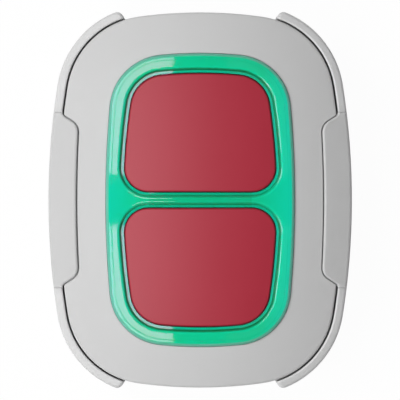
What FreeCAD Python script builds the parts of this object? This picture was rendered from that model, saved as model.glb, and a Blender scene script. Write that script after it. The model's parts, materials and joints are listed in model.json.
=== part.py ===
import FreeCAD, Part
import math
import os
import Sketcher

# Wireless panic button with two keys, clipped into its surface holder.
# The part lies on the flat back of the holder. Z points out of the front, Y runs along the
# long side towards the upper key, and X runs to the right. All lengths are millimetres.

os.makedirs("parts", exist_ok=True)
doc = FreeCAD.newDocument("PanicButton")
Vector = FreeCAD.Vector

# Driving sizes, in the order in which the device is put together
SIZES = [
    # Plan outline of the device: flat arcs for the sides and ends, joined by corner arcs
    ("body_half_width", 17.72),
    ("body_half_length", 23.5),
    ("body_side_radius", 92.0),
    ("body_end_radius", 57.0),
    ("body_corner_radius", 10.4),
    # Plan outline of the light guide that frames the keys
    ("ring_half_width", 11.85),
    ("ring_half_length", 18.39),
    ("ring_side_radius", 133.0),
    ("ring_end_radius", 53.3),
    ("ring_corner_radius", 7.0),
    # Front dome: radii across and along, and the height of its top above the device's back
    ("dome_across_radius", 48.0),
    ("dome_along_radius", 85.0),
    ("dome_top", 15.5),
    # Housings
    ("parting_height", 6.8),
    ("side_wall", 1.8),
    ("front_skin", 1.6),
    ("rear_skin", 1.6),
    ("front_edge_radius", 0.35),
    ("rear_edge_radius", 3.0),
    ("parting_chamfer", 0.2),
    ("gasket_width", 0.8),
    ("gasket_depth", 0.6),
    ("gasket_side_gap", 0.05),
    ("post_radius", 1.2),
    ("post_inset", 3.4),
    ("post_along", 8.0),
    # Housing screws and their bosses
    ("screw_inset_across", 6.1),
    ("screw_inset_along", 5.4),
    ("screw_radius", 0.8),
    ("screw_bite", 3.2),
    ("screw_head_radius", 1.45),
    ("screw_head_height", 1.1),
    ("screw_head_sink", 1.0),
    ("screw_clearance", 0.15),
    ("thread_gap", 0.02),
    ("pilot_spare", 0.3),
    ("cross_reach", 0.85),
    ("cross_half_width", 0.2),
    ("cross_depth", 0.65),
    ("boss_radius", 1.8),
    # Tunnel for a lanyard, curved from the end face to the back
    ("lanyard_bend", 3.6),
    ("lanyard_radius", 1.0),
    ("lanyard_block_half_width", 3.0),
    ("lanyard_block_wall", 1.2),
    # Holder
    ("holder_floor", 1.8),
    ("holder_wall", 1.1),
    ("holder_seam", 0.2),
    ("holder_edge_radius", 0.5),
    ("holder_floor_inset", 1.9),
    ("ear_inset", 9.25),
    ("ear_slant", 51.0),
    ("ear_tip_radius", 0.8),
    ("ear_inner_radius", 0.2),
    ("tab_lap", 2.2),
    ("tab_edge_radius", 160.0),
    ("tab_end_inset", 15.0),
    ("tab_corner_radius", 1.6),
    ("tab_slant", 33.0),
    ("tab_foot_radius", 0.7),
    ("tab_foot_inset", 0.48),
    ("tab_rise", 0.3),
    ("tab_sink", 0.5),
    ("tab_gap", 0.1),
    ("tab_side_gap", 0.15),
    ("tab_round", 0.25),
    ("wall_screw_radius", 1.75),
    ("wall_screw_head_radius", 3.2),
    ("wall_screw_along", 10.0),
    ("wall_screw_sink", 1.2),
    # Light guide
    ("guide_gap", 0.03),
    ("crown_rise", 0.4),
    ("crown_outer_round", 0.55),
    ("crown_inner_round", 0.4),
    ("ledge_rise", -0.05),
    ("ledge_width", 0.37),
    ("ledge_overlap", 0.4),
    ("guide_flange", 1.0),
    ("guide_flange_height", 9.8),
    ("guide_skirt_height", 8.4),
    ("guide_web_height", 11.9),
    ("guide_skirt_wall", 1.4),
    # Keys
    ("key_side_inset", 2.3),
    ("key_end_inset", 2.54),
    ("key_side_radius", 82.4),
    ("key_end_radius", 51.9),
    ("key_corner_radius", 4.24),
    ("key_divider", 1.02),
    ("key_inner_radius", 3.0),
    ("key_clearance", 0.1),
    ("key_rise", 0.15),
    ("key_round", 0.25),
    ("key_skin", 1.2),
    ("key_flange", 0.6),
    ("key_flange_gap", 0.05),
    ("key_flange_thickness", 0.8),
    ("key_rib", 0.8),
    ("key_stem_radius", 2.0),
    ("press_travel", 0.4),
    # Board and switches
    ("board_height", 6.2),
    ("board_thickness", 1.0),
    ("board_clearance", 0.4),
    ("switch_side", 4.5),
    ("switch_height", 1.2),
    ("plunger_radius", 1.1),
    ("plunger_height", 0.7),
    ("plunger_depth", 0.5),
    ("plunger_clearance", 0.1),
    ("seal_wall", 0.5),
    ("seal_radius", 4.2),
    ("seal_flange", 0.8),
    # Power
    ("cell_radius", 10.0),
    ("cell_thickness", 3.2),
    ("cell_cap_radius", 8.9),
    ("cell_cap_height", 0.3),
    ("cell_along", -1.0),
    ("contact_thickness", 0.3),
    ("contact_radius", 4.0),
    ("clip_thickness", 0.3),
    ("clip_width", 8.0),
    ("clip_side_gap", 0.15),
    ("clip_foot", 1.4),
    # Small parts on the board
    ("chip_side", 5.0),
    ("chip_height", 0.9),
    ("crystal_length", 3.2),
    ("crystal_width", 2.5),
    ("crystal_height", 0.7),
    ("crystal_across", 6.6),
    ("capacitor_length", 1.6),
    ("capacitor_width", 0.8),
    ("capacitor_pitch", 1.6),
    ("capacitor_across", 5.4),
    ("led_length", 1.6),
    ("led_width", 0.8),
    ("led_height", 0.6),
    ("led_along", 6.0),
    ("antenna_half_length", 6.5),
    ("antenna_width", 1.2),
    ("antenna_height", 1.8),
    ("antenna_thickness", 0.3),
    ("antenna_gap", 1.1),
]

sheet = doc.addObject("Spreadsheet::Sheet", "Sizes")


class Size:
    """A length with its value and the sheet expression that gives it."""

    def __init__(self, value, text):
        self.value = value
        self.text = text

    def __add__(self, other):
        other = as_size(other)
        return Size(self.value + other.value, "(%s + %s)" % (self.text, other.text))

    def __sub__(self, other):
        other = as_size(other)
        return Size(self.value - other.value, "(%s - %s)" % (self.text, other.text))

    def __mul__(self, other):
        other = as_size(other)
        return Size(self.value * other.value, "(%s * %s)" % (self.text, other.text))

    def __truediv__(self, other):
        other = as_size(other)
        return Size(self.value / other.value, "(%s / %s)" % (self.text, other.text))

    def __neg__(self):
        return Size(-self.value, "(0 - %s)" % self.text)


def as_size(number):
    """Return a size, whether a size or a plain number comes in."""
    if isinstance(number, Size):
        return number
    return Size(float(number), "%.6f" % number)


class Dimensions:
    """Every driving size, by its name in the sheet."""


dim = Dimensions()
for row, (alias, value) in enumerate(SIZES, start=1):
    sheet.set("A%d" % row, alias)
    sheet.set("B%d" % row, repr(value))
    sheet.setAlias("B%d" % row, alias)
    setattr(dim, alias, Size(value, "Sizes." + alias))
doc.recompute()


def bind(item, prop, size):
    """Give a property its size and tie it to the sheet."""
    item.setExpression(prop, as_size(size).text)


# How far blanks and cutters run past the form they shape
SPARE = 4

# Height above the parting below which no edge of the domed tops lies
DOME_FOOT_RISE = 1

# Numbers by which a sketch knows the points of a curve
ORIGIN_POINT = (-1, 1)
START = 1
END = 2
CENTRE = 3


# Sketch helpers


def new_body(name):
    """Start a body whose label names the piece."""
    body = doc.addObject("PartDesign::Body", name)
    body.Label = name
    return body


def new_sketch(body, name, role="XY_Plane", level=0):
    """Start a sketch on one of the body's origin planes, lifted along its normal."""
    sketch = body.newObject("Sketcher::SketchObject", name)
    plane = next(item for item in body.Origin.OriginFeatures if item.Role == role)
    sketch.AttachmentSupport = (plane, [""])
    sketch.MapMode = "FlatFace"
    level = as_size(level)
    sketch.AttachmentOffset = FreeCAD.Placement(Vector(0, 0, level.value), FreeCAD.Rotation())
    bind(sketch, "AttachmentOffset.Base.z", level)
    return sketch


def rule(sketch, kind, *parts):
    """Add a geometric constraint."""
    sketch.addConstraint(Sketcher.Constraint(kind, *parts))


def measure(sketch, kind, first, second, size):
    """Add a distance from one point to another; a negative one is taken the other way."""
    size = as_size(size)
    if size.value < 0:
        first, second, size = second, first, -size
    index = sketch.addConstraint(Sketcher.Constraint(kind, *first, *second, size.value))
    bind(sketch, "Constraints[%d]" % index, size)


def measure_radius(sketch, curve, size):
    """Fix the radius of an arc or circle."""
    size = as_size(size)
    index = sketch.addConstraint(Sketcher.Constraint("Radius", curve, size.value))
    bind(sketch, "Constraints[%d]" % index, size)


def place(sketch, point, across, along):
    """Fix a point at its two coordinates."""
    for kind, axis, size in (("DistanceX", -2, across), ("DistanceY", -1, along)):
        if as_size(size).value == 0:
            rule(sketch, "PointOnObject", *point, axis)
        else:
            measure(sketch, kind, ORIGIN_POINT, point, size)


def arc(centre, radius, start_angle, end_angle):
    """An arc that runs anticlockwise between two angles in radians."""
    circle = Part.Circle(Vector(centre[0], centre[1], 0), Vector(0, 0, 1), radius)
    return Part.ArcOfCircle(circle, start_angle, end_angle)


def on_arc(centre, radius, angle):
    """The point of a circle at an angle."""
    x = centre[0] + radius * math.cos(angle)
    y = centre[1] + radius * math.sin(angle)
    return Vector(x, y, 0)


def draw_circle(sketch, across, along, radius):
    """A circle with its centre fixed."""
    across = as_size(across)
    along = as_size(along)
    centre = Vector(across.value, along.value, 0)
    radius = as_size(radius)
    index = sketch.addGeometry(Part.Circle(centre, Vector(0, 0, 1), radius.value))
    place(sketch, (index, CENTRE), across, along)
    measure_radius(sketch, index, radius)


def draw_polygon(sketch, corners):
    """A closed polygon with every corner fixed."""
    points = [Vector(as_size(across).value, as_size(along).value, 0) for across, along in corners]
    first = sketch.GeometryCount
    count = len(points)
    for number in range(count):
        sketch.addGeometry(Part.LineSegment(points[number], points[(number + 1) % count]))
    for number in range(count):
        after = (number + 1) % count
        rule(sketch, "Coincident", first + number, END, first + after, START)
    for number, (across, along) in enumerate(corners):
        place(sketch, (first + number, START), across, along)


def draw_rectangle(sketch, left, right, low, high):
    """An upright rectangle given by its four limits."""
    draw_polygon(sketch, [(left, low), (right, low), (right, high), (left, high)])


class Oval:
    """A rounded outline of eight tangent arcs: two sides, two ends and four corners."""

    def __init__(self, half_width, half_length, side_radius, end_radius, corner_radius):
        self.half_width = half_width
        self.half_length = half_length
        self.side_radius = side_radius
        self.end_radius = end_radius
        self.corner_radius = corner_radius

    def grown(self, step):
        """The parallel outline that lies further out by a step; arcs keep their centres."""
        return Oval(
            self.half_width + step,
            self.half_length + step,
            self.side_radius + step,
            self.end_radius + step,
            self.corner_radius + step,
        )

    def side_centre(self):
        """Where the centre of the right side's arc lies on the X axis."""
        return self.half_width - self.side_radius

    def end_centre(self):
        """Where the centre of the upper end's arc lies on the Y axis."""
        return self.half_length - self.end_radius

    def corner_centre(self):
        """Centre of the upper right corner arc, where two larger circles cross."""
        side = self.side_centre().value
        end = self.end_centre().value
        reach_side = self.side_radius.value - self.corner_radius.value
        reach_end = self.end_radius.value - self.corner_radius.value
        apart = math.hypot(side, end)
        along = (reach_side ** 2 - reach_end ** 2 + apart ** 2) / (2 * apart)
        aside = math.sqrt(reach_side ** 2 - along ** 2)
        toward_x = -side / apart
        toward_y = end / apart
        return (side + along * toward_x - aside * toward_y, along * toward_y + aside * toward_x)


def draw_oval(sketch, oval):
    """Draw an outline of eight arcs, tangent end to start, anticlockwise from the right."""
    half_turn = math.pi
    corner_x, corner_y = oval.corner_centre()
    side = oval.side_centre()
    end = oval.end_centre()
    side_angle = math.atan2(corner_y, corner_x - side.value)
    end_angle = math.atan2(corner_y - end.value, corner_x)
    side_radius = oval.side_radius.value
    end_radius = oval.end_radius.value
    corner_radius = oval.corner_radius.value
    first = sketch.GeometryCount
    sketch.addGeometry([
        arc((side.value, 0), side_radius, -side_angle, side_angle),
        arc((corner_x, corner_y), corner_radius, side_angle, end_angle),
        arc((0, end.value), end_radius, end_angle, half_turn - end_angle),
        arc((-corner_x, corner_y), corner_radius, half_turn - end_angle, half_turn - side_angle),
        arc((-side.value, 0), side_radius, half_turn - side_angle, half_turn + side_angle),
        arc((-corner_x, -corner_y), corner_radius, half_turn + side_angle, half_turn + end_angle),
        arc((0, -end.value), end_radius, half_turn + end_angle, 2 * half_turn - end_angle),
        arc((corner_x, -corner_y), corner_radius, -end_angle, -side_angle),
    ])
    for number in range(8):
        rule(sketch, "Tangent", first + number, END, first + (number + 1) % 8, START)
    for number in (3, 5, 7):
        rule(sketch, "Equal", first + 1, first + number)
    rule(sketch, "Equal", first, first + 4)
    rule(sketch, "Equal", first + 2, first + 6)
    measure_radius(sketch, first, oval.side_radius)
    measure_radius(sketch, first + 2, oval.end_radius)
    measure_radius(sketch, first + 1, oval.corner_radius)
    place(sketch, (first, CENTRE), side, 0)
    place(sketch, (first + 4, CENTRE), -side, 0)
    place(sketch, (first + 2, CENTRE), 0, end)
    place(sketch, (first + 6, CENTRE), 0, -end)


def draw_key_outline(sketch, step):
    """Outline of the upper key, further out by a step.

    Its inner end is straight beside the divider, and both inner corners have a radius of
    their own.
    """
    step = as_size(step)
    oval = key_outline.grown(step)
    low = dim.key_divider - step
    inner_radius = dim.key_inner_radius + step
    corner_x, corner_y = oval.corner_centre()
    side = oval.side_centre()
    end = oval.end_centre()
    half_turn = math.pi
    side_radius = oval.side_radius.value
    corner_radius = oval.corner_radius.value
    inner = inner_radius.value
    inner_y = low.value + inner
    inner_x = side.value + math.sqrt((side_radius - inner) ** 2 - inner_y ** 2)
    start_angle = math.atan2(inner_y, inner_x - side.value)
    side_angle = math.atan2(corner_y, corner_x - side.value)
    end_angle = math.atan2(corner_y - end.value, corner_x)
    first = sketch.GeometryCount
    sketch.addGeometry([
        arc((side.value, 0), side_radius, start_angle, side_angle),
        arc((corner_x, corner_y), corner_radius, side_angle, end_angle),
        arc((0, end.value), oval.end_radius.value, end_angle, half_turn - end_angle),
        arc((-corner_x, corner_y), corner_radius, half_turn - end_angle, half_turn - side_angle),
        arc((-side.value, 0), side_radius, half_turn - side_angle, half_turn - start_angle),
        arc((-inner_x, inner_y), inner, half_turn - start_angle, 1.5 * half_turn),
        Part.LineSegment(Vector(-inner_x, low.value, 0), Vector(inner_x, low.value, 0)),
        arc((inner_x, inner_y), inner, -0.5 * half_turn, start_angle),
    ])
    for number in range(8):
        rule(sketch, "Tangent", first + number, END, first + (number + 1) % 8, START)
    rule(sketch, "Equal", first, first + 4)
    rule(sketch, "Equal", first + 1, first + 3)
    rule(sketch, "Equal", first + 5, first + 7)
    rule(sketch, "Horizontal", first + 6)
    measure_radius(sketch, first, oval.side_radius)
    measure_radius(sketch, first + 1, oval.corner_radius)
    measure_radius(sketch, first + 2, oval.end_radius)
    measure_radius(sketch, first + 5, inner_radius)
    place(sketch, (first, CENTRE), side, 0)
    place(sketch, (first + 4, CENTRE), -side, 0)
    place(sketch, (first + 2, CENTRE), 0, end)
    measure(sketch, "DistanceY", ORIGIN_POINT, (first + 6, START), low)


# Feature helpers

def pad(body, sketch, depth):
    """Extrude a sketch along its normal."""
    feature = body.newObject("PartDesign::Pad", sketch.Name + "Pad")
    feature.Profile = sketch
    bind(feature, "Length", depth)
    doc.recompute()
    return feature


def pocket(body, sketch, depth=None, along_normal=True):
    """Cut a sketch out of the body, by a depth or right through."""
    feature = body.newObject("PartDesign::Pocket", sketch.Name + "Pocket")
    feature.Profile = sketch
    feature.Reversed = along_normal
    if depth is None:
        feature.Type = "ThroughAll"
    else:
        bind(feature, "Length", depth)
    doc.recompute()
    return feature


def revolve(body, sketch):
    """Turn a sketch a full turn about its own vertical axis."""
    feature = body.newObject("PartDesign::Revolution", sketch.Name + "Turn")
    feature.Profile = sketch
    feature.ReferenceAxis = (sketch, ["V_Axis"])
    feature.Angle = 360
    doc.recompute()
    return feature


def edge_names(feature, wanted):
    """Names of the edges of a feature for which the test given is true."""
    edges = enumerate(feature.Shape.Edges, start=1)
    return ["Edge%d" % number for number, edge in edges if wanted(edge)]


def round_edges(body, name, radius, wanted):
    """Round the edges of a body for which the test given is true."""
    tip = body.Tip
    feature = body.newObject("PartDesign::Fillet", name)
    feature.Base = (tip, edge_names(tip, wanted))
    bind(feature, "Radius", radius)
    doc.recompute()
    return feature


def bevel_edges(body, name, width, wanted):
    """Bevel the edges of a body for which the test given is true."""
    tip = body.Tip
    feature = body.newObject("PartDesign::Chamfer", name)
    feature.Base = (tip, edge_names(tip, wanted))
    bind(feature, "Size", width)
    doc.recompute()
    return feature


def combine(body, name, kind, tools):
    """Cut other bodies from a body, or fuse them to it."""
    feature = body.newObject("PartDesign::Boolean", name)
    feature.Type = kind
    feature.setObjects(tools)
    doc.recompute()
    return feature


def is_level(edge, height):
    """True for an edge that lies in one horizontal plane."""
    box = edge.BoundBox
    return abs(box.ZMin - height) < 1e-4 and abs(box.ZMax - height) < 1e-4


def is_upright(edge):
    """True for a vertical edge."""
    box = edge.BoundBox
    return box.XLength < 1e-4 and box.YLength < 1e-4


# Levels, measured from the flat back of the holder, and places worked out from the sizes

back = dim.holder_floor
parting = back + dim.parting_height
apex = back + dim.dome_top
board_bottom = back + dim.board_height
board_top = board_bottom + dim.board_thickness
plunger_top = board_top + dim.switch_height + dim.plunger_height
stem_bottom = plunger_top + dim.seal_wall
web_bottom = back + dim.guide_web_height
key_flange_top = web_bottom - dim.key_flange_gap
key_flange_bottom = key_flange_top - dim.key_flange_thickness
over_all = apex + dim.crown_rise + SPARE
key_centre = (dim.key_divider + dim.ring_half_length - dim.key_end_inset) / 2
dome_foot = parting + DOME_FOOT_RISE
holder_floor_end = dim.body_half_length - dim.holder_floor_inset
ear_start = dim.body_half_width - dim.ear_inset
ear_slope = Size(math.tan(math.radians(dim.ear_slant.value)), "tan(Sizes.ear_slant * 1 deg)")
cell_top = board_bottom - dim.contact_thickness
cell_bottom = cell_top - dim.cell_thickness

# Outlines

body_outline = Oval(
    dim.body_half_width,
    dim.body_half_length,
    dim.body_side_radius,
    dim.body_end_radius,
    dim.body_corner_radius,
)
ring = Oval(
    dim.ring_half_width,
    dim.ring_half_length,
    dim.ring_side_radius,
    dim.ring_end_radius,
    dim.ring_corner_radius,
)
key_outline = Oval(
    dim.ring_half_width - dim.key_side_inset,
    dim.ring_half_length - dim.key_end_inset,
    dim.key_side_radius,
    dim.key_end_radius,
    dim.key_corner_radius,
)
cavity_outline = body_outline.grown(-dim.side_wall)


def carve_dome(body, name, rise):
    """Cut away what lies above the front dome, lifted by a rise.

    The dome is an arc across the device turned about a far lower axis, so that lifted domes
    are parallel to each other.
    """
    rise = as_size(rise)
    sketch = new_sketch(body, name, "XZ_Plane")
    span = dim.body_half_width + SPARE
    lid = over_all + SPARE
    centre_height = apex - dim.dome_across_radius
    radius = dim.dome_across_radius + rise
    half_angle = math.acos(span.value / radius.value)
    centre = (0, centre_height.value)
    right = on_arc(centre, radius.value, half_angle)
    left = Vector(-right.x, right.y, 0)
    top_left = Vector(left.x, lid.value, 0)
    top_right = Vector(right.x, lid.value, 0)
    axis_height = apex - dim.dome_along_radius
    axis = Part.LineSegment(
        Vector(left.x, axis_height.value, 0), Vector(right.x, axis_height.value, 0))
    sketch.addGeometry([
        arc(centre, radius.value, half_angle, math.pi - half_angle),
        Part.LineSegment(left, top_left),
        Part.LineSegment(top_left, top_right),
        Part.LineSegment(top_right, right),
    ])
    sketch.addGeometry(axis, True)
    for number in range(4):
        rule(sketch, "Coincident", number, END, (number + 1) % 4, START)
    rule(sketch, "Vertical", 1)
    rule(sketch, "Horizontal", 2)
    measure_radius(sketch, 0, radius)
    place(sketch, (0, CENTRE), 0, centre_height)
    place(sketch, (2, START), -span, lid)
    measure(sketch, "DistanceX", ORIGIN_POINT, (3, START), span)
    measure(sketch, "DistanceX", ORIGIN_POINT, (3, END), span)
    place(sketch, (4, START), -span, axis_height)
    place(sketch, (4, END), span, axis_height)
    feature = body.newObject("PartDesign::Groove", name + "Groove")
    feature.Profile = sketch
    feature.ReferenceAxis = (sketch, ["Axis0"])
    feature.Midplane = True
    feature.Angle = 50
    doc.recompute()
    return feature


def make_domed_block(name, outline, low, rise):
    """A plain block with the plan outline given, cut by the lifted dome."""
    body = new_body(name)
    sketch = new_sketch(body, name + "_plan", level=low)
    draw_oval(sketch, outline)
    pad(body, sketch, over_all - low)
    carve_dome(body, name + "_dome", rise)
    return body


def dome_edges(edge):
    """True for the edges where a dome meets upright walls."""
    return not is_upright(edge) and edge.BoundBox.ZMin > dome_foot.value


def screw_places():
    """The four screw positions, as across and along pairs."""
    across = dim.body_half_width - dim.screw_inset_across
    along = dim.body_half_length - dim.screw_inset_along
    return [(across, along), (-across, along), (-across, -along), (across, -along)]


def post_places():
    """The four places where posts hold the board."""
    across = dim.body_half_width - dim.post_inset
    along = dim.post_along
    return [(across, along), (-across, along), (-across, -along), (across, -along)]


def draw_circles(sketch, places, radius):
    """One circle at each place."""
    for across, along in places:
        draw_circle(sketch, across, along, radius)


def boolean(name, kind, base, tool):
    """A cut, fuse or common of two objects."""
    item = doc.addObject("Part::" + kind, name)
    item.Base = base
    item.Tool = tool
    doc.recompute()
    return item


def mirrored(name, source, normal=Vector(0, 1, 0)):
    """The same piece on the other side of the plane through the origin with that normal."""
    copy = doc.addObject("Part::Mirroring", name)
    copy.Label = name
    copy.Source = source
    copy.Base = Vector(0, 0, 0)
    copy.Normal = normal
    doc.recompute()
    return copy


# Front housing: a domed shell, open below, with a window for the light guide

def make_front_cavity():
    """The space inside the front housing, without the bosses that stand in it."""
    body = new_body("front_cavity")
    sketch = new_sketch(body, "FrontCavityPlan", level=parting)
    draw_oval(sketch, cavity_outline)
    pad(body, sketch, over_all - parting)
    carve_dome(body, "FrontCavityDome", -dim.front_skin)
    bosses = new_sketch(body, "FrontBosses", level=parting)
    draw_circles(bosses, screw_places(), dim.boss_radius)
    pocket(body, bosses)
    pins = new_sketch(body, "FrontPins", level=board_top)
    draw_circles(pins, post_places(), dim.post_radius)
    pocket(body, pins)
    return body


def make_tab_recesses():
    """What the recesses for both tabs take out of the front: their plan above a lower dome."""
    under = make_domed_block(
        "recess_under", body_outline.grown(SPARE / 2), parting - SPARE, -dim.tab_sink)
    body = new_body("recess_right")
    sketch = new_sketch(body, "RecessPlan", level=parting)
    draw_tab(sketch, dim.tab_side_gap)
    pad(body, sketch, over_all - parting)
    combine(body, "RecessFloor", "Cut", [under])
    return boolean("tab_recesses", "Fuse", body, mirrored("recess_left", body, Vector(1, 0, 0)))


def make_front_housing():
    """The domed front shell."""
    body = new_body("front_shell")
    sketch = new_sketch(body, "FrontPlan", level=parting)
    draw_oval(sketch, body_outline)
    pad(body, sketch, over_all - parting)
    carve_dome(body, "FrontDome", 0)
    round_edges(body, "FrontEdge", dim.front_edge_radius, dome_edges)
    bevel_edges(body, "FrontParting", dim.parting_chamfer,
                lambda edge: is_level(edge, parting.value))
    combine(body, "FrontHollow", "Cut", [make_front_cavity()])
    window = new_sketch(body, "FrontWindow", level=parting)
    draw_oval(window, ring.grown(dim.guide_gap))
    pocket(body, window)
    pilots = new_sketch(body, "FrontPilots", level=parting)
    draw_circles(pilots, screw_places(), dim.screw_radius + dim.thread_gap)
    pocket(body, pilots, dim.screw_bite + dim.pilot_spare)
    housing = boolean("front_housing", "Cut", body, make_tab_recesses())
    housing.Label = "front_housing"
    return housing


# Rear housing: a tray with a rounded back edge, screw bosses and a lanyard tunnel

def make_rear_cavity():
    """The space inside the rear housing, without what stands on its floor."""
    body = new_body("rear_cavity")
    floor = back + dim.rear_skin
    sketch = new_sketch(body, "RearCavityPlan", level=floor)
    draw_oval(sketch, cavity_outline)
    pad(body, sketch, parting - floor)
    bosses = new_sketch(body, "RearBosses", level=floor)
    draw_circles(bosses, screw_places(), dim.boss_radius)
    pocket(body, bosses)
    posts = new_sketch(body, "RearPosts", level=floor)
    draw_circles(posts, post_places(), dim.post_radius)
    pocket(body, posts, board_bottom - floor)
    block = new_sketch(body, "LanyardBlock", level=floor)
    reach = dim.lanyard_bend + dim.lanyard_radius + dim.lanyard_block_wall
    draw_rectangle(
        block,
        -dim.lanyard_block_half_width,
        dim.lanyard_block_half_width,
        dim.body_half_length - reach,
        dim.body_half_length + SPARE,
    )
    pocket(body, block, reach - dim.rear_skin)
    return body


def make_rear_housing():
    """The back cover of the device."""
    body = new_body("rear_housing")
    sketch = new_sketch(body, "RearPlan", level=back)
    draw_oval(sketch, body_outline)
    pad(body, sketch, dim.parting_height)
    round_edges(body, "RearEdge", dim.rear_edge_radius, lambda edge: is_level(edge, back.value))
    bevel_edges(body, "RearParting", dim.parting_chamfer,
                lambda edge: is_level(edge, parting.value))
    combine(body, "RearHollow", "Cut", [make_rear_cavity()])
    channel = new_sketch(body, "GasketChannel", level=parting - dim.gasket_depth)
    outer_step = (dim.side_wall - dim.gasket_width) / 2 - dim.gasket_side_gap
    draw_oval(channel, body_outline.grown(-outer_step))
    draw_oval(channel, cavity_outline.grown(outer_step))
    pocket(body, channel)
    holes = new_sketch(body, "ScrewHoles", level=back)
    draw_circles(holes, screw_places(), dim.screw_radius + dim.screw_clearance)
    pocket(body, holes)
    recesses = new_sketch(body, "ScrewRecesses", level=back)
    draw_circles(recesses, screw_places(), dim.screw_head_radius + dim.screw_clearance)
    pocket(body, recesses, dim.screw_head_sink + dim.screw_head_height)
    tunnel = new_sketch(body, "LanyardTunnel", level=back)
    draw_circle(tunnel, 0, dim.body_half_length - dim.lanyard_bend, dim.lanyard_radius)
    left_end = Vector(-SPARE, dim.body_half_length.value, 0)
    right_end = Vector(SPARE, dim.body_half_length.value, 0)
    axis = tunnel.addGeometry(Part.LineSegment(left_end, right_end), True)
    place(tunnel, (axis, START), -SPARE, dim.body_half_length)
    place(tunnel, (axis, END), SPARE, dim.body_half_length)
    bore = body.newObject("PartDesign::Groove", "LanyardBore")
    bore.Profile = tunnel
    bore.ReferenceAxis = (tunnel, ["Axis0"])
    bore.Angle = 360
    doc.recompute()
    return body


def make_gasket():
    """The rubber ring that lies in the channel of the rear housing."""
    body = new_body("housing_gasket")
    sketch = new_sketch(body, "GasketPlan", level=parting - dim.gasket_depth)
    outer_step = (dim.side_wall - dim.gasket_width) / 2
    draw_oval(sketch, body_outline.grown(-outer_step))
    draw_oval(sketch, cavity_outline.grown(outer_step))
    pad(body, sketch, dim.gasket_depth)
    return body


def make_screw(name, across, along):
    """A pan head screw that stands in the rear housing and bites into the front one."""
    body = new_body(name)
    sketch = new_sketch(body, name + "_profile", "XZ_Plane")
    head_bottom = back + dim.screw_head_sink
    head_top = head_bottom + dim.screw_head_height
    draw_polygon(sketch, [
        (0, head_bottom),
        (dim.screw_head_radius, head_bottom),
        (dim.screw_head_radius, head_top),
        (dim.screw_radius, head_top),
        (dim.screw_radius, parting + dim.screw_bite),
        (0, parting + dim.screw_bite),
    ])
    revolve(body, sketch)
    slot = new_sketch(body, name + "_cross", level=head_bottom)
    arm = dim.cross_reach
    half = dim.cross_half_width
    draw_polygon(slot, [
        (half, half), (arm, half), (arm, -half), (half, -half), (half, -arm), (-half, -arm),
        (-half, -half), (-arm, -half), (-arm, half), (-half, half), (-half, arm), (half, arm),
    ])
    pocket(body, slot, dim.cross_depth)
    bind(body, "Placement.Base.x", across)
    bind(body, "Placement.Base.y", along)
    return body


# Light guide: a domed band with two stepped windows, a flange under the front housing and a
# skirt that reaches down to the light-emitting diodes

def cut_windows(body, name, step, level):
    """Cut both key windows upwards from a level."""
    sketch = new_sketch(body, name, level=level)
    draw_key_outline(sketch, step)
    window = pocket(body, sketch)
    pair = body.newObject("PartDesign::Mirrored", name + "Pair")
    pair.Originals = [window]
    plane = next(item for item in body.Origin.OriginFeatures if item.Role == "XZ_Plane")
    pair.MirrorPlane = (plane, [""])
    body.Tip = pair
    doc.recompute()


def make_light_guide():
    """The translucent band round both keys."""
    skirt_bottom = back + dim.guide_skirt_height
    band_bottom = back + dim.guide_flange_height
    body = make_domed_block("light_guide", ring, skirt_bottom, dim.crown_rise)
    round_edges(body, "CrownOuterEdge", dim.crown_outer_round, dome_edges)
    cut_windows(body, "CrownWindow", dim.key_clearance + dim.ledge_width, skirt_bottom)
    middle = ring.grown(-dim.key_side_inset / 2)

    def crown_inner(edge):
        """True for the upper edges of the two windows."""
        box = edge.BoundBox
        across = max(abs(box.XMin), abs(box.XMax))
        along = max(abs(box.YMin), abs(box.YMax))
        inside = across < middle.half_width.value and along < middle.half_length.value
        return inside and dome_edges(edge)

    round_edges(body, "CrownInnerEdge", dim.crown_inner_round, crown_inner)
    ledge_outline = ring.grown(-dim.ledge_overlap)
    ledge = make_domed_block("guide_ledge", ledge_outline, skirt_bottom, dim.ledge_rise)
    flange = make_domed_block(
        "guide_flange_block",
        ring.grown(dim.guide_flange),
        band_bottom,
        -dim.front_skin - dim.guide_gap,
    )
    notches = new_sketch(flange, "FlangeNotches", level=band_bottom)
    draw_circles(notches, screw_places(), dim.boss_radius + dim.guide_gap)
    draw_circles(notches, post_places(), dim.post_radius + dim.guide_gap)
    pocket(flange, notches)
    combine(body, "GuideBlocks", "Fuse", [ledge, flange])
    cut_windows(body, "KeyWindow", dim.key_clearance, skirt_bottom)
    under = new_sketch(body, "GuideUnderside", level=skirt_bottom)
    draw_oval(under, ring.grown(-dim.guide_skirt_wall))
    pocket(body, under, web_bottom - skirt_bottom)
    return body


# Keys: thin domed caps with a retaining flange, ribs and a stem over the switch

def make_key_cavity():
    """The hollow under the upper key, without its ribs and stem."""
    body = new_body("key_cavity")
    sketch = new_sketch(body, "KeyCavityPlan", level=key_flange_bottom)
    draw_key_outline(sketch, -dim.key_skin)
    pad(body, sketch, over_all - key_flange_bottom)
    carve_dome(body, "KeyCavityDome", dim.key_rise - dim.key_skin)
    ribs = new_sketch(body, "KeyRibs", level=key_flange_bottom)
    half = dim.key_rib / 2
    far = dim.ring_half_width
    reach = dim.key_stem_radius
    draw_rectangle(ribs, -far, far, key_centre - half, key_centre + half)
    pocket(body, ribs)
    stem = new_sketch(body, "KeyStemHole", level=key_flange_bottom)
    draw_circle(stem, 0, key_centre, reach)
    pocket(body, stem)
    return body


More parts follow.
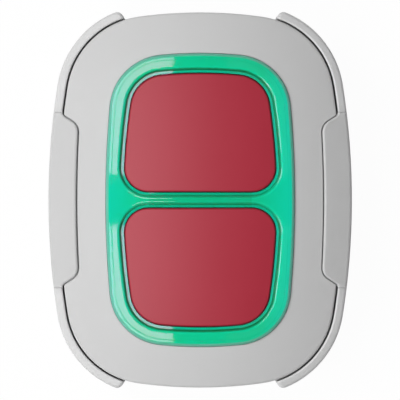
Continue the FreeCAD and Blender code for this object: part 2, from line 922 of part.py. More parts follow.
def make_key():
    """The upper key."""
    body = new_body("upper_button")
    sketch = new_sketch(body, "KeyPlan", level=key_flange_bottom)
    draw_key_outline(sketch, 0)
    pad(body, sketch, over_all - key_flange_bottom)
    carve_dome(body, "KeyDome", dim.key_rise)
    round_edges(body, "KeyEdge", dim.key_round, dome_edges)
    flange = new_sketch(body, "KeyFlange", level=key_flange_bottom)
    draw_key_outline(flange, dim.key_flange)
    pad(body, flange, dim.key_flange_thickness)
    combine(body, "KeyHollow", "Cut", [make_key_cavity()])
    stem = new_sketch(body, "KeyStem", level=stem_bottom)
    draw_circle(stem, 0, key_centre, dim.key_stem_radius)
    pad(body, stem, key_flange_top - stem_bottom)
    return body


# Holder: a back plate with walls round the four corners and a hooked tab on each side

def draw_tab(sketch, step=0):
    """Plan of the right tab, further out by a step.

    A long shallow arc lies towards the keys. At both ends follow a corner arc, a slanted line
    and a hollow arc that leads into the seam along the rim.
    """
    step = as_size(step)
    tilt = math.radians(dim.tab_slant.value)
    centre = dim.body_half_width - dim.tab_lap - dim.tab_edge_radius
    big = dim.tab_edge_radius - step
    small = dim.tab_corner_radius + step
    hollow = dim.tab_foot_radius
    far = dim.body_half_width + SPARE
    along = dim.body_half_length - dim.tab_end_inset
    foot = dim.body_half_width - dim.tab_foot_inset - dim.tab_foot_radius
    corner_y = along.value
    swing = math.asin(corner_y / (big.value + small.value))
    corner_x = centre.value + (big.value + small.value) * math.cos(swing)
    normal = math.pi / 2 + tilt
    apart = small.value + hollow.value
    slide = (foot.value - corner_x + apart * math.sin(tilt)) / math.cos(tilt)
    foot_y = corner_y + apart * math.cos(tilt) + slide * math.sin(tilt)
    start = on_arc((corner_x, corner_y), small.value, normal)
    touch = on_arc((foot.value, foot_y), hollow.value, tilt - math.pi / 2)
    tip_x = foot.value + hollow.value
    sketch.addGeometry([
        arc((centre.value, 0), big.value, -swing, swing),
        arc((corner_x, corner_y), small.value, normal, math.pi + swing),
        Part.LineSegment(start, touch),
        arc((foot.value, foot_y), hollow.value, tilt - math.pi / 2, 0),
        Part.LineSegment(Vector(tip_x, foot_y, 0), Vector(far.value, foot_y, 0)),
        Part.LineSegment(Vector(far.value, foot_y, 0), Vector(far.value, -foot_y, 0)),
        Part.LineSegment(Vector(far.value, -foot_y, 0), Vector(tip_x, -foot_y, 0)),
        arc((foot.value, -foot_y), hollow.value, 0, math.pi / 2 - tilt),
        Part.LineSegment(Vector(touch.x, -touch.y, 0), Vector(start.x, -start.y, 0)),
        arc((corner_x, -corner_y), small.value, math.pi - swing, 2 * math.pi - normal),
    ])
    rule(sketch, "Tangent", 0, END, 1, END)
    rule(sketch, "Tangent", 1, START, 2, START)
    rule(sketch, "Tangent", 2, END, 3, START)
    for number in (3, 4, 5, 6):
        rule(sketch, "Coincident", number, END, number + 1, START)
    rule(sketch, "Tangent", 7, END, 8, START)
    rule(sketch, "Tangent", 8, END, 9, END)
    rule(sketch, "Tangent", 9, START, 0, START)
    rule(sketch, "Horizontal", 4)
    rule(sketch, "Vertical", 5)
    rule(sketch, "Horizontal", 6)
    rule(sketch, "Horizontal", 3, CENTRE, 3, END)
    rule(sketch, "Horizontal", 7, CENTRE, 7, START)
    rule(sketch, "Equal", 1, 9)
    rule(sketch, "Equal", 3, 7)
    measure_radius(sketch, 0, big)
    measure_radius(sketch, 1, small)
    measure_radius(sketch, 3, hollow)
    place(sketch, (0, CENTRE), centre, 0)
    measure(sketch, "DistanceY", ORIGIN_POINT, (1, CENTRE), along)
    measure(sketch, "DistanceY", ORIGIN_POINT, (9, CENTRE), -along)
    measure(sketch, "DistanceX", ORIGIN_POINT, (3, CENTRE), foot)
    measure(sketch, "DistanceX", ORIGIN_POINT, (7, CENTRE), foot)
    measure(sketch, "DistanceX", ORIGIN_POINT, (5, START), far)
    for line, turn in ((2, dim.tab_slant), (8, as_size(180) - dim.tab_slant)):
        index = sketch.addConstraint(
            Sketcher.Constraint("Angle", line, math.radians(turn.value)))
        sketch.setExpression("Constraints[%d]" % index, "%s * 1 deg" % turn.text)


def is_ear_edge(edge):
    """True for the upright edges at the tips of the ears, on the slanted end faces."""
    box = edge.BoundBox
    beyond = abs(box.YMin) - holder_floor_end.value
    off_slant = abs(box.XMin) - ear_start.value - beyond / ear_slope.value
    return is_upright(edge) and beyond > 0.1 and abs(off_slant) < 1e-3


def draw_end_gaps(sketch):
    """Plan of the openings between the ears at both ends."""
    low = holder_floor_end
    high = dim.body_half_length + SPARE
    narrow = ear_start
    wide = narrow + (high - low) / ear_slope
    for side in (1, -1):
        draw_polygon(sketch, [
            (-narrow, low * side), (narrow, low * side), (wide, high * side), (-wide, high * side),
        ])


def make_tabs(holder_outline):
    """Both tabs: hooks with rounded upper edges that reach into the front's recesses."""
    plate = new_body("tab_plate")
    sketch = new_sketch(plate, "TabPlateOutline", level=parting)
    draw_oval(sketch, holder_outline)
    pad(plate, sketch, over_all - parting)
    carve_dome(plate, "TabDome", dim.tab_rise)
    plan = new_body("tab_plan")
    sketch = new_sketch(plan, "TabPlan", level=parting)
    draw_tab(sketch)
    pad(plan, sketch, over_all - parting)
    blank = boolean("tab_blank", "Common", plate, plan)
    rounded = doc.addObject("Part::Fillet", "tab_rounded")
    rounded.Base = blank
    inner_round = dim.tab_round.value
    outer_round = dim.holder_edge_radius.value
    edges = []
    for number, edge in enumerate(blank.Shape.Edges, start=1):
        if dome_edges(edge):
            outside = edge.BoundBox.XMin > dim.body_half_width.value
            radius = outer_round if outside else inner_round
            edges.append((number, radius, radius))
    rounded.Edges = edges
    doc.recompute()
    envelope = make_domed_block(
        "device_envelope", body_outline.grown(dim.holder_seam), back, dim.tab_gap - dim.tab_sink)
    tab = boolean("tab_right", "Cut", rounded, envelope)
    return [tab, mirrored("tab_left", tab, Vector(1, 0, 0))]


def make_wall_screw_hole(name, along):
    """A countersunk hole through the holder's floor."""
    hole = doc.addObject("Part::Cylinder", name + "_bore")
    bind(hole, "Radius", dim.wall_screw_radius)
    bind(hole, "Height", dim.holder_floor + SPARE)
    bind(hole, "Placement.Base.z", as_size(-SPARE / 2))
    bind(hole, "Placement.Base.y", along)
    sink = doc.addObject("Part::Cone", name + "_sink")
    bind(sink, "Radius1", dim.wall_screw_radius)
    bind(sink, "Radius2", dim.wall_screw_head_radius)
    bind(sink, "Height", dim.wall_screw_sink)
    bind(sink, "Placement.Base.y", along)
    bind(sink, "Placement.Base.z", dim.holder_floor - dim.wall_screw_sink)
    doc.recompute()
    return [hole, sink]


def make_holder():
    """The surface holder."""
    holder_outline = body_outline.grown(dim.holder_seam + dim.holder_wall)
    rim = new_body("holder_rim")
    sketch = new_sketch(rim, "HolderOutline")
    draw_oval(sketch, holder_outline)
    pad(rim, sketch, over_all)
    gaps = new_sketch(rim, "EndGaps")
    draw_end_gaps(gaps)
    pocket(rim, gaps)
    round_edges(rim, "EarTips", dim.ear_tip_radius, is_ear_edge)
    carve_dome(rim, "HolderDome", 0)
    round_edges(rim, "HolderEdge", dim.holder_edge_radius, dome_edges)
    space = new_sketch(rim, "DeviceSpace", level=back)
    draw_oval(space, body_outline.grown(dim.holder_seam))
    pocket(rim, space)
    solid = doc.addObject("Part::MultiFuse", "holder_solid")
    solid.Shapes = [rim] + make_tabs(holder_outline)
    doc.recompute()
    cutters = doc.addObject("Part::MultiFuse", "wall_holes")
    cutters.Shapes = (
        make_wall_screw_hole("upper_wall_hole", dim.wall_screw_along)
        + make_wall_screw_hole("lower_wall_hole", -dim.wall_screw_along)
    )
    doc.recompute()
    cut = boolean("holder_sharp", "Cut", solid, cutters)
    holder = doc.addObject("Part::Fillet", "holder")
    holder.Label = "holder"
    holder.Base = cut
    radius = dim.ear_inner_radius.value
    holder.Edges = [
        (number, radius, radius)
        for number, edge in enumerate(cut.Shape.Edges, start=1)
        if is_ear_edge(edge) and abs(edge.BoundBox.ZMin - back.value) < 1e-4
    ]
    doc.recompute()
    return holder


# Board, switches and seals

def make_board():
    """The circuit board, notched round the screw bosses."""
    body = new_body("circuit_board")
    sketch = new_sketch(body, "BoardPlan", level=board_bottom)
    draw_oval(sketch, cavity_outline.grown(-dim.board_clearance))
    pad(body, sketch, dim.board_thickness)
    notches = new_sketch(body, "BoardNotches", level=board_bottom)
    draw_circles(notches, screw_places(), dim.boss_radius + dim.board_clearance)
    pocket(body, notches)
    return body


def make_switch():
    """Body of the upper switch, with a bore for its plunger."""
    body = new_body("upper_switch_body")
    half = dim.switch_side / 2
    sketch = new_sketch(body, "SwitchPlan", level=board_top)
    draw_rectangle(sketch, -half, half, key_centre - half, key_centre + half)
    pad(body, sketch, dim.switch_height)
    bore_depth = dim.plunger_depth + dim.press_travel + dim.plunger_clearance
    bore = new_sketch(body, "SwitchBore", level=board_top + dim.switch_height - bore_depth)
    draw_circle(bore, 0, key_centre, dim.plunger_radius + dim.plunger_clearance)
    pocket(body, bore)
    return body


def make_plunger():
    """Plunger of the upper switch."""
    plunger = doc.addObject("Part::Cylinder", "upper_switch_plunger")
    plunger.Label = "upper_switch_plunger"
    bind(plunger, "Radius", dim.plunger_radius)
    bind(plunger, "Height", dim.plunger_height + dim.plunger_depth)
    bind(plunger, "Placement.Base.y", key_centre)
    bind(plunger, "Placement.Base.z", plunger_top - dim.plunger_height - dim.plunger_depth)
    doc.recompute()
    return plunger


def make_seal():
    """The silicone cap that covers the upper switch."""
    body = new_body("upper_seal")
    sketch = new_sketch(body, "SealProfile", "XZ_Plane", -key_centre)
    inner = dim.seal_radius - dim.seal_wall
    outer = dim.seal_radius + dim.seal_flange
    draw_polygon(sketch, [
        (0, plunger_top),
        (inner, plunger_top),
        (inner, board_top),
        (outer, board_top),
        (outer, board_top + dim.seal_wall),
        (dim.seal_radius, board_top + dim.seal_wall),
        (dim.seal_radius, stem_bottom),
        (0, stem_bottom),
    ])
    revolve(body, sketch)
    return body


# Power

def make_coin_cell():
    """The coin cell, with its narrower cap towards the board."""
    body = new_body("coin_cell")
    sketch = new_sketch(body, "CellProfile", "XZ_Plane", -dim.cell_along)
    shoulder = cell_top - dim.cell_cap_height
    draw_polygon(sketch, [
        (0, cell_bottom),
        (dim.cell_radius, cell_bottom),
        (dim.cell_radius, shoulder),
        (dim.cell_cap_radius, shoulder),
        (dim.cell_cap_radius, cell_top),
        (0, cell_top),
    ])
    revolve(body, sketch)
    return body


def make_battery_clip():
    """A strap under the cell whose legs rise to feet on the board."""
    body = new_body("battery_clip")
    sketch = new_sketch(body, "ClipProfile", "XZ_Plane", -dim.cell_along)
    inner = dim.cell_radius + dim.clip_side_gap
    outer = inner + dim.clip_thickness
    foot = outer + dim.clip_foot
    low = cell_bottom - dim.clip_thickness
    foot_low = board_bottom - dim.clip_thickness
    draw_polygon(sketch, [
        (-outer, low), (outer, low), (outer, foot_low), (foot, foot_low),
        (foot, board_bottom), (inner, board_bottom), (inner, cell_bottom),
        (-inner, cell_bottom), (-inner, board_bottom), (-foot, board_bottom),
        (-foot, foot_low), (-outer, foot_low),
    ])
    feature = pad(body, sketch, dim.clip_width)
    feature.Midplane = True
    doc.recompute()
    return body


def make_negative_contact():
    """The contact pad between the cell and the board."""
    contact = doc.addObject("Part::Cylinder", "negative_contact")
    contact.Label = "negative_contact"
    bind(contact, "Radius", dim.contact_radius)
    bind(contact, "Height", dim.contact_thickness)
    bind(contact, "Placement.Base.y", dim.cell_along)
    bind(contact, "Placement.Base.z", cell_top)
    doc.recompute()
    return contact


# Small parts on the board

def make_block(name, across, along, length, width, height):
    """A small rectangular part, centred at its place on the board."""
    block = doc.addObject("Part::Box", name)
    block.Label = name
    bind(block, "Length", length)
    bind(block, "Width", width)
    bind(block, "Height", height)
    bind(block, "Placement.Base.x", across - length / 2)
    bind(block, "Placement.Base.y", along - width / 2)
    bind(block, "Placement.Base.z", board_top)
    doc.recompute()
    return block


def make_antenna():
    """A bent metal strip: two feet on the board and a raised run between them."""
    body = new_body("antenna")
    inset = dim.guide_skirt_wall + dim.antenna_gap + dim.antenna_width / 2
    along = dim.ring_half_length - inset
    sketch = new_sketch(body, "AntennaProfile", "XZ_Plane", -along)
    half = dim.antenna_half_length
    inner = half - dim.antenna_thickness
    crest = board_top + dim.antenna_height
    under = crest - dim.antenna_thickness
    draw_polygon(sketch, [
        (-half, board_top), (-inner, board_top), (-inner, under), (inner, under),
        (inner, board_top), (half, board_top), (half, crest), (-half, crest),
    ])
    feature = pad(body, sketch, dim.antenna_width)
    feature.Midplane = True
    doc.recompute()
    return body


def make_leds():
    """Six diodes under the skirt of the light guide."""
    across = dim.ring_half_width - dim.guide_skirt_wall / 2
    along = dim.ring_half_length - dim.guide_skirt_wall / 2
    places = [
        (across, dim.led_along, dim.led_width, dim.led_length),
        (-across, dim.led_along, dim.led_width, dim.led_length),
        (across, -dim.led_along, dim.led_width, dim.led_length),
        (-across, -dim.led_along, dim.led_width, dim.led_length),
        (as_size(0), along, dim.led_length, dim.led_width),
        (as_size(0), -along, dim.led_length, dim.led_width),
    ]
    leds = []
    for number, (x, y, length, width) in enumerate(places, start=1):
        leds.append(make_block("led_%d" % number, x, y, length, width, dim.led_height))
    return leds


def make_capacitors():
    """Three capacitors in a row beside the radio chip."""
    parts = []
    for number in range(3):
        along = dim.capacitor_pitch * (number - 1)
        parts.append(make_block(
            "capacitor_%d" % (number + 1),
            -dim.capacitor_across,
            along,
            dim.capacitor_length,
            dim.capacitor_width,
            dim.capacitor_width,
        ))
    return parts


# The whole part

holder = make_holder()
front_housing = make_front_housing()
rear_housing = make_rear_housing()
light_guide = make_light_guide()
upper_button = make_key()
upper_switch_body = make_switch()
upper_switch_plunger = make_plunger()
upper_seal = make_seal()
nodes = [
    holder,
    front_housing,
    rear_housing,
    make_gasket(),
    light_guide,
    upper_button,
    mirrored("lower_button", upper_button),
    make_board(),
    upper_switch_body,
    mirrored("lower_switch_body", upper_switch_body),
    upper_switch_plunger,
    mirrored("lower_switch_plunger", upper_switch_plunger),
    upper_seal,
    mirrored("lower_seal", upper_seal),
    make_coin_cell(),
    make_battery_clip(),
    make_negative_contact(),
    make_block("radio_chip", as_size(0), as_size(0), dim.chip_side, dim.chip_side,
               dim.chip_height),
    make_block("crystal", dim.crystal_across, as_size(0), dim.crystal_length, dim.crystal_width,
               dim.crystal_height),
    make_antenna(),
]
nodes += make_leds()
nodes += make_capacitors()
for number, (across, along) in enumerate(screw_places(), start=1):
    nodes.append(make_screw("housing_screw_%d" % number, across, along))
doc.recompute()

# Every object must have been worked out, and every piece must be one sound solid

for item in doc.Objects:
    if "Invalid" in item.State or "Error" in item.State:
        raise RuntimeError("%s failed: %s" % (item.Name, item.State))
for item in nodes:
    shape = item.Shape
    if shape.isNull() or not shape.isValid():
        raise RuntimeError("%s has no sound shape" % item.Label)
    if len(shape.Solids) != 1:
        raise RuntimeError("%s has %d solids" % (item.Label, len(shape.Solids)))
    shape.exportStep("parts/%s.step" % item.Label)
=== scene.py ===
import math

import bpy
import numpy as np
from mathutils import Matrix
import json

# Wireless panic button in its surface holder, seen from straight in front.
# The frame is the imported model: metres, Z out of the front, Y towards the upper key.

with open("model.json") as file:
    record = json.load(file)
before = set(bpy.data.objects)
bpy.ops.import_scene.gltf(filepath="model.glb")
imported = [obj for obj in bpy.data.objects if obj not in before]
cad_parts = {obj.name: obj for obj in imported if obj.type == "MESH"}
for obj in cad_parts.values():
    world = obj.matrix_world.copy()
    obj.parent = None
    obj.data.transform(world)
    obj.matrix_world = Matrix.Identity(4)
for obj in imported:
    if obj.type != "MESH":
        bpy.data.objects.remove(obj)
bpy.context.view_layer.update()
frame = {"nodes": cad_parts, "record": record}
scene = bpy.context.scene
MM = 0.001

# Photograph: a square picture of this many pixels, in which a pixel is this much of the object
PICTURE_SIDE = 400
PIXEL = 0.12517 * MM
PICTURE_MIDDLE = (200.2, 199.98)


# Shader building

class Sum:
    """A node socket with arithmetic: each operator adds the Math node that works it out."""

    def __init__(self, tree, socket):
        self.tree = tree
        self.socket = socket

    def _math(self, operation, first, second=None):
        inputs = {0: first}
        if second is not None:
            inputs[1] = second
        return self.tree.add("ShaderNodeMath", {"operation": operation}, inputs)

    def __add__(self, other):
        return self._math("ADD", self, other)

    __radd__ = __add__

    def __sub__(self, other):
        return self._math("SUBTRACT", self, other)

    def __rsub__(self, other):
        return self._math("SUBTRACT", other, self)

    def __mul__(self, other):
        return self._math("MULTIPLY", self, other)

    __rmul__ = __mul__

    def __gt__(self, other):
        return self._math("GREATER_THAN", self, other)

    def __lt__(self, other):
        return self._math("LESS_THAN", self, other)

    def __abs__(self):
        return self._math("ABSOLUTE", self)

    def lower(self, other):
        """The lower of two values."""
        return self._math("MINIMUM", self, other)

    def root(self):
        """The square root of this value."""
        return self._math("SQRT", self)


class Material:
    """One procedural material; its nodes are added by add()."""

    def __init__(self, name):
        self.data = bpy.data.materials.new(name)
        self.data.use_nodes = True
        self.nodes = self.data.node_tree.nodes
        self.links = self.data.node_tree.links
        self.nodes.clear()
        self.output = self.nodes.new("ShaderNodeOutputMaterial")
        self.place = self.add("ShaderNodeTexCoord", {}, {}, "Object")

    def add(self, kind, settings, inputs, output=0):
        """Add a node: its settings first, then the values or links of its sockets."""
        node = self.nodes.new(kind)
        for name, value in settings.items():
            if name == "stops":
                set_stops(node.color_ramp, value)
            else:
                setattr(node, name, value)
        for name, value in inputs.items():
            if isinstance(value, Sum):
                self.links.new(value.socket, node.inputs[name])
            else:
                node.inputs[name].default_value = value
        return Sum(self, node.outputs[output])

    def noise(self, scale, detail=3.0, roughness=0.5):
        """Noise over the surface, with its scale in cells per metre."""
        inputs = {"Vector": self.place, "Scale": scale, "Detail": detail, "Roughness": roughness}
        return self.add("ShaderNodeTexNoise", {}, inputs, "Fac")

    def axes(self):
        """The place on the object, in millimetres: across and along, from the middle."""
        return [abs(self.coordinate(number)) for number in range(2)]

    def coordinate(self, number):
        """One coordinate of the place on the object, in millimetres."""
        return self.add("ShaderNodeSeparateXYZ", {}, {0: self.place}, number) * (1 / MM)

    def ramp(self, value, stops, span=1.0):
        """A colour ramp of (place, colour) stops, over values from 0 to the span."""
        if span != 1.0:
            value = value * (1 / span)
            stops = [(place / span, colour) for place, colour in stops]
        return self.add("ShaderNodeValToRGB", {"stops": stops}, {"Fac": value}, "Color")

    def mix(self, fraction, first, second, blend="MIX"):
        """Blend two colours."""
        inputs = {0: fraction, 6: first, 7: second}
        return self.add("ShaderNodeMix", {"data_type": "RGBA", "blend_type": blend}, inputs, 2)

    def level(self, value, stops, span=1.0):
        """A number that follows a value through (place, level) stops, from 0 to the span."""
        greys = [(place, (level, level, level, 1.0)) for place, level in stops]
        return self.ramp(value, greys, span)

    def from_arc(self, across, along, centre, radius):
        """How far inside a circle a place lies."""
        step_x = across - centre[0]
        step_y = along - centre[1]
        return radius - (step_x * step_x + step_y * step_y).root()

    def bump(self, height, strength, distance):
        """A bump from a height field, whose full height is the distance."""
        inputs = {"Height": height, "Strength": strength, "Distance": distance}
        return self.add("ShaderNodeBump", {}, inputs, "Normal")

    def surface(self, **sockets):
        """Finish with a Principled shader; names use _ for a space."""
        inputs = {name.replace("_", " "): value for name, value in sockets.items()}
        shader = self.add("ShaderNodeBsdfPrincipled", {}, inputs, "BSDF")
        self.links.new(shader.socket, self.output.inputs["Surface"])
        return self.data


def set_stops(ramp, stops):
    """Give a colour ramp its stops."""
    while len(ramp.elements) < len(stops):
        ramp.elements.new(1.0)
    for element, (place, colour) in zip(ramp.elements, stops):
        element.position = place
        element.color = colour


def rgb(red, green, blue):
    """A linear colour from one given as it looks on screen, 0 to 255."""
    def linear(level):
        level = level / 255
        return level / 12.92 if level <= 0.04045 else ((level + 0.055) / 1.055) ** 2.4
    return (linear(red), linear(green), linear(blue), 1.0)


def darker(colour):
    """A slightly deeper shade of a colour."""
    return tuple(part * 0.85 for part in colour[:3]) + (1.0,)


# Materials

def moulded_grey(name, colour, ear_painted_light_colour, grain):
    """Matt light grey moulding: fine spark-eroded grain and a faint drift in colour and gloss.

    Past the tabs, along the ears, the colour is painted lighter, standing in for more light
    there.
    """
    skin = Material(name)
    cloud = skin.noise(90, 3)
    fine = skin.noise(grain, 2, 0.6)
    across, along = skin.axes()
    # painted light: beyond the tabs the ears take the lighter second colour
    painted_light_on_ears = skin.level(along, [(10.4, 0.0), (12.0, 1.0)], span=20.0)
    base = skin.mix(painted_light_on_ears, colour, ear_painted_light_colour)
    base = skin.mix(1.0, base, skin.level(cloud, [(0.0, 0.965), (1.0, 1.0)]), "MULTIPLY")
    rough = 0.5 + 0.08 * cloud + 0.05 * fine
    return skin.surface(
        Base_Color=base,
        Roughness=rough,
        Specular_IOR_Level=0.35,
        Subsurface_Weight=0.3,
        Subsurface_Radius=(1.0, 1.0, 1.0),
        Subsurface_Scale=0.5 * MM,
        Normal=skin.bump(fine, 0.18, 0.04 * MM),
    )


class Oval:
    """A rounded outline of arcs, in millimetres: two sides, two ends and four corners.

    The sides' circles have their centres on X, the ends' on Y, and a corner's circle touches
    both from within, so its centre lies where the two circles less its radius cross.
    """

    def __init__(self, half_width, half_length, side_radius, end_radius, corner_radius):
        self.side_radius = side_radius
        self.end_radius = end_radius
        self.corner_radius = corner_radius
        self.side = half_width - side_radius
        self.end = half_length - end_radius
        reach_side = side_radius - corner_radius
        reach_end = end_radius - corner_radius
        apart = math.hypot(self.side, self.end)
        along = (reach_side ** 2 - reach_end ** 2 + apart ** 2) / (2 * apart)
        aside = math.sqrt(reach_side ** 2 - along ** 2)
        self.corner = (
            self.side - (along * self.side + aside * self.end) / apart,
            (along * self.end - aside * self.side) / apart,
        )

    def inset(self, skin, across, along):
        """How far in from the outline a place lies: from the corner's arc in its own sector,
        and from the nearer of side and end elsewhere."""
        corner_x, corner_y = self.corner
        above = along * (corner_x - self.side) > (across - self.side) * corner_y
        beside = (along - self.end) * corner_x < across * (corner_y - self.end)
        sector = above * beside
        from_side = skin.from_arc(across, along, (self.side, 0.0), self.side_radius)
        from_end = skin.from_arc(across, along, (0.0, self.end), self.end_radius)
        from_corner = skin.from_arc(across, along, self.corner, self.corner_radius)
        return sector * from_corner + (1 - sector) * from_side.lower(from_end)

    def inner_corner(self, low, radius):
        """Centre of a corner arc between the side and a straight edge at a distance along."""
        along = low + radius
        return (self.side + math.sqrt((self.side_radius - radius) ** 2 - along ** 2), along)


# Plan outlines of the light guide and of the two keys, in millimetres
GUIDE = Oval(11.85, 18.39, 133.0, 53.3, 7.0)
KEYS = Oval(9.55, 15.85, 82.4, 51.9, 4.24)
DIVIDER = 1.02
KEY_INNER_RADIUS = 3.0
# span across the light guide over which its painted end light changes, in millimetres
END_LIGHT_SPAN = 25.0


def key_gap(skin, across, along):
    """How far outside the outline of the nearer key a place lies.

    The keys share the oval, less a straight band over the middle with rounded inner corners.
    """
    inner_x, inner_y = KEYS.inner_corner(DIVIDER, KEY_INNER_RADIUS)
    below = along * (inner_x - KEYS.side) < (across - KEYS.side) * inner_y
    sector = below * (across > inner_x)
    from_corner = skin.from_arc(across, along, (inner_x, inner_y), KEY_INNER_RADIUS)
    inset = KEYS.inset(skin, across, along).lower(along - DIVIDER)
    return 0 - (sector * from_corner + (1 - sector) * inset)


def clear_green():
    """Polished green light guide.

    Its colour is painted paler at the outer rim, standing in for the grey housing's reflection in
    the steep side, and painted darker in the groove beside the ledge, as painted shade. Towards
    the left and right ends it is painted lighter and bluer, the right end most, standing in for
    the light that falls there; on the divider it is painted darker, standing in for the dark
    reflection along its crown. A fine moulded line runs round the crown.
    """
    skin = Material("green light guide")
    across, along = skin.axes()
    inset = GUIDE.inset(skin, across, along)
    gap = key_gap(skin, across, along)
    cloud = skin.noise(60, 2)
    from_left = skin.coordinate(0) + END_LIGHT_SPAN / 2
    # painted light: lighter and bluer towards the ends, the right end most, standing in for light
    # that falls there
    painted_end_light = skin.ramp(from_left, [(1.5, rgb(0, 213, 175)), (5.0, rgb(0, 210, 157)),
                                (20.0, rgb(0, 210, 157)), (23.5, rgb(0, 227, 187))], END_LIGHT_SPAN)
    body = skin.mix(1.0, painted_end_light, skin.level(cloud, [(0.0, 0.93), (1.0, 1.05)]), "MULTIPLY")
    # painted shade: the divider is darker, standing in for the dark reflection along its crown
    painted_divider_shade = skin.level(along, [(0.8, 1.0), (1.2, 0.0)], span=4.0)
    body = skin.mix(painted_divider_shade * (across < KEYS.inner_corner(DIVIDER, KEY_INNER_RADIUS)[0]),
                    body, rgb(0, 196, 143))
    # painted reflection: the outer rim is paler grey-green, standing in for the grey housing
    # reflected in its steep side
    painted_rim_reflection = skin.level(inset, [(0.0, 1.0), (0.3, 0.9), (0.42, 0.0)])
    # painted shade: darker in the groove beside the ledge, less so near the divider
    painted_groove_shade = skin.level(gap, [(0.36, 0.0), (0.43, 1.0), (0.64, 1.0), (0.78, 0.0)])
    groove_shade_beside_key = skin.level(along, [(1.2, 0.4), (3.0, 0.85)], span=4.0)
    base = skin.mix(painted_rim_reflection * 0.75, body, rgb(122, 180, 164))
    base = skin.mix(painted_groove_shade * groove_shade_beside_key, base, rgb(8, 128, 78))
    line = skin.level(inset, [(0.69, 1.0), (0.74, 0.0), (0.79, 1.0)])
    return skin.surface(
        Base_Color=base,
        Roughness=0.04 + 0.03 * cloud,
        Specular_IOR_Level=0.62,
        Specular_Tint=(1.0, 0.42, 0.85, 1.0),
        Subsurface_Weight=0.8,
        Subsurface_Radius=(1.0, 1.0, 1.0),
        Subsurface_Scale=1.6 * MM,
        Normal=skin.bump(line, 0.6, 0.03 * MM),
    )


def satin_red():
    """Satin crimson key with a very fine moulded grain."""
    skin = Material("satin red key")
    cloud = skin.noise(110, 3)
    fine = skin.noise(9000, 2, 0.6)
    base = skin.mix(cloud, rgb(166, 28, 49), rgb(172, 34, 56))
    return skin.surface(
        Base_Color=base,
        Roughness=0.46 + 0.05 * cloud,
        Specular_IOR_Level=0.5,
        Normal=skin.bump(fine, 0.12, 0.03 * MM),
    )


def plain_rubber(name, colour, rough):
    """Soft moulded rubber with a dusty bloom."""
    skin = Material(name)
    bloom = skin.noise(400, 4)
    lighter = tuple(min(1.0, part * 1.25 + 0.01) for part in colour[:3]) + (1.0,)
    return skin.surface(
        Base_Color=skin.mix(bloom, colour, lighter),
        Roughness=rough + 0.1 * bloom,
        Normal=skin.bump(skin.noise(5000, 2), 0.1, 0.03 * MM),
    )


def brushed_metal(name, colour, rough):
    """Plated metal with fine drawn lines along Y."""
    skin = Material(name)
    stretched = skin.add("ShaderNodeVectorMath", {"operation": "MULTIPLY"},
                         {0: skin.place, 1: (9000, 250, 9000)}, 0)
    lines = skin.add("ShaderNodeTexNoise", {}, {"Vector": stretched, "Scale": 1.0, "Detail": 2.0},
                     "Fac")
    return skin.surface(
        Base_Color=skin.mix(lines, darker(colour), colour),
        Metallic=1.0,
        Roughness=rough + 0.15 * lines,
        Normal=skin.bump(lines, 0.1, 0.02 * MM),
    )


def small_plastic(name, colour, rough):
    """A small moulded plastic or ceramic part."""
    skin = Material(name)
    fine = skin.noise(3500, 3)
    return skin.surface(
        Base_Color=skin.mix(fine, darker(colour), colour),
        Roughness=rough + 0.1 * fine,
        Normal=skin.bump(fine, 0.1, 0.03 * MM),
    )


def board_green():
    """Solder mask over glass laminate, with its faint woven texture."""
    skin = Material("board laminate")
    weave = skin.add("ShaderNodeTexWave", {"wave_type": "BANDS", "bands_direction": "DIAGONAL"},
                     {"Vector": skin.place, "Scale": 900.0, "Distortion": 0.4}, "Fac")
    return skin.surface(
        Base_Color=skin.mix(weave, rgb(18, 92, 52), rgb(24, 106, 60)),
        Roughness=0.35 + 0.1 * weave,
        Normal=skin.bump(weave, 0.08, 0.02 * MM),
    )


finishes = {
    # the holder's second colour is painted light, lighter on the ears
    "holder_plastic": moulded_grey(
        "holder moulding", rgb(199, 199, 199), rgb(212, 212, 212), 7000),
    "housing_plastic": moulded_grey(
        "housing moulding", rgb(203, 203, 203), rgb(203, 203, 203), 9000),
    "guide_plastic": clear_green(),
    "key_plastic": satin_red(),
    "seal_rubber": plain_rubber("black seal rubber", rgb(38, 38, 38), 0.6),
    "silicone": plain_rubber("pale silicone", rgb(220, 218, 208), 0.45),
    "board_laminate": board_green(),
    "black_plastic": small_plastic("black moulding", rgb(36, 36, 38), 0.5),
    "plunger_plastic": small_plastic("natural nylon", rgb(226, 222, 208), 0.45),
    "nickel_steel": brushed_metal("nickel plate", rgb(214, 210, 200), 0.25),
    "contact_brass": brushed_metal("plated brass", rgb(222, 190, 120), 0.25),
    "led_resin": small_plastic("pale resin", rgb(240, 236, 200), 0.2),
    "capacitor_ceramic": small_plastic("fired ceramic", rgb(168, 142, 112), 0.4),
    "screw_steel": brushed_metal("zinc plate", rgb(190, 190, 192), 0.3),
}
slots = {row["node"]: row["material_slot"] for row in frame["record"]["subparts"]}
for name, node in frame["nodes"].items():
    node.data.materials.clear()
    node.data.materials.append(finishes[slots[name]])


# Stage, light and camera

FLOOR_HALF = 600 * MM
FLOOR_DROP = 0.02 * MM
WHITE_SHARE = 0.97


def flat_grid(name, half, level, count=9):
    """A square sheet at a level: x and y run over count by count points, z stays the same."""
    steps = np.linspace(-half, half, count)
    across, along = np.meshgrid(steps, steps)
    corners = np.stack([across.ravel(), along.ravel(), np.full(across.size, level)], axis=1)
    index = np.arange(across.size).reshape(across.shape)
    faces = np.stack([index[:-1, :-1], index[:-1, 1:], index[1:, 1:], index[1:, :-1]], axis=-1)
    mesh = bpy.data.meshes.new(name)
    mesh.from_pydata(corners.tolist(), [], faces.reshape(-1, 4).tolist())
    sheet = bpy.data.objects.new(name, mesh)
    scene.collection.objects.link(sheet)
    return sheet


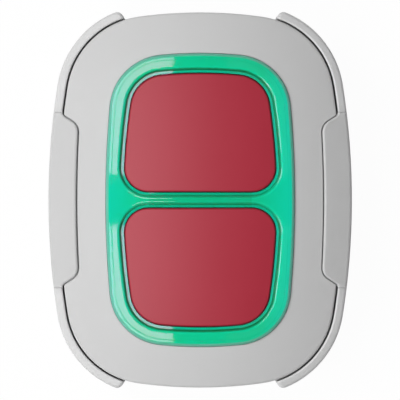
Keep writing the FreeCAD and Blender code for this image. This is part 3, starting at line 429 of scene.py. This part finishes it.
def floor_material():
    """Pale floor with soft shadows; straight from the camera it reads as white paper."""
    skin = Material("pale floor")
    rays = skin.nodes.new("ShaderNodeLightPath")
    seen = Sum(skin, rays.outputs["Is Camera Ray"])
    shaded = skin.add("ShaderNodeBsdfDiffuse", {}, {"Color": (0.86, 0.86, 0.86, 1)}, "BSDF")
    white = skin.add("ShaderNodeEmission", {}, {"Color": (1, 1, 1, 1), "Strength": 1.0}, 0)
    both = skin.add("ShaderNodeMixShader", {}, {0: seen * WHITE_SHARE, 1: shaded, 2: white}, 0)
    skin.links.new(both.socket, skin.output.inputs["Surface"])
    return skin.data


floor = flat_grid("floor", FLOOR_HALF, -FLOOR_DROP)
floor.data.materials.append(floor_material())


# Four soft boxes, two by two: bright on the left, faint on the right
LAMP_DISTANCE = 0.9
LAMP_LEAN = (28.4, 18.5)
LAMP_SPAN = (36.0, 24.0)
FILL_LIGHT = 0.12


def soft_lamp(name, lean, span, radiance):
    """A rectangular soft box, placed by how far it leans from straight above.

    The lean across and along and the span across and along are in degrees, seen from the
    object; the box faces the object and its sides keep to X and Y.
    """
    toward = np.array([math.tan(math.radians(lean[0])), math.tan(math.radians(lean[1])), 1.0])
    toward /= np.linalg.norm(toward)
    across = np.cross((0.0, 1.0, 0.0), toward)
    across /= np.linalg.norm(across)
    along = np.cross(toward, across)
    data = bpy.data.lights.new(name, "AREA")
    data.shape = "RECTANGLE"
    data.size = 2 * LAMP_DISTANCE * math.tan(math.radians(span[0] / 2))
    data.size_y = 2 * LAMP_DISTANCE * math.tan(math.radians(span[1] / 2))
    data.energy = radiance * data.size * data.size_y * math.pi
    lamp = bpy.data.objects.new(name, data)
    scene.collection.objects.link(lamp)
    lamp.location = toward * LAMP_DISTANCE
    lamp.rotation_euler = Matrix(np.stack([across, along, toward], axis=1).tolist()).to_euler()
    return lamp


for side_name, side_x, side_y, radiance in (
    ("upper left", -1, 1, 6.0),
    ("lower left", -1, -1, 6.2),
    ("upper right", 1, 1, 0.2),
    ("lower right", 1, -1, 0.2),
):
    lean = (side_x * LAMP_LEAN[0], side_y * LAMP_LEAN[1])
    soft_lamp(side_name + " soft box", lean, LAMP_SPAN, radiance)

world = bpy.data.worlds.new("studio")
scene.world = world
world.use_nodes = True
world.node_tree.nodes["Background"].inputs["Color"].default_value = (1, 1, 1, 1)
world.node_tree.nodes["Background"].inputs["Strength"].default_value = FILL_LIGHT

# A long lens, because the photograph shows next to no perspective. A lens much past this puts
# a camera that frames the whole object beyond a hundred times the object's radius.
camera_data = bpy.data.cameras.new("camera")
camera_data.lens = 1000
camera_data.clip_start = 0.1
camera_data.clip_end = 20
camera = bpy.data.objects.new("camera", camera_data)
scene.collection.objects.link(camera)
aim_height = 15 * MM
view_width = PICTURE_SIDE * PIXEL
reach = view_width * camera_data.lens / camera_data.sensor_width
aim_x = (PICTURE_SIDE / 2 - PICTURE_MIDDLE[0]) * PIXEL
aim_y = (PICTURE_MIDDLE[1] - PICTURE_SIDE / 2) * PIXEL
camera.location = (aim_x, aim_y, aim_height + reach)
scene.camera = camera
scene.view_settings.view_transform = "Standard"
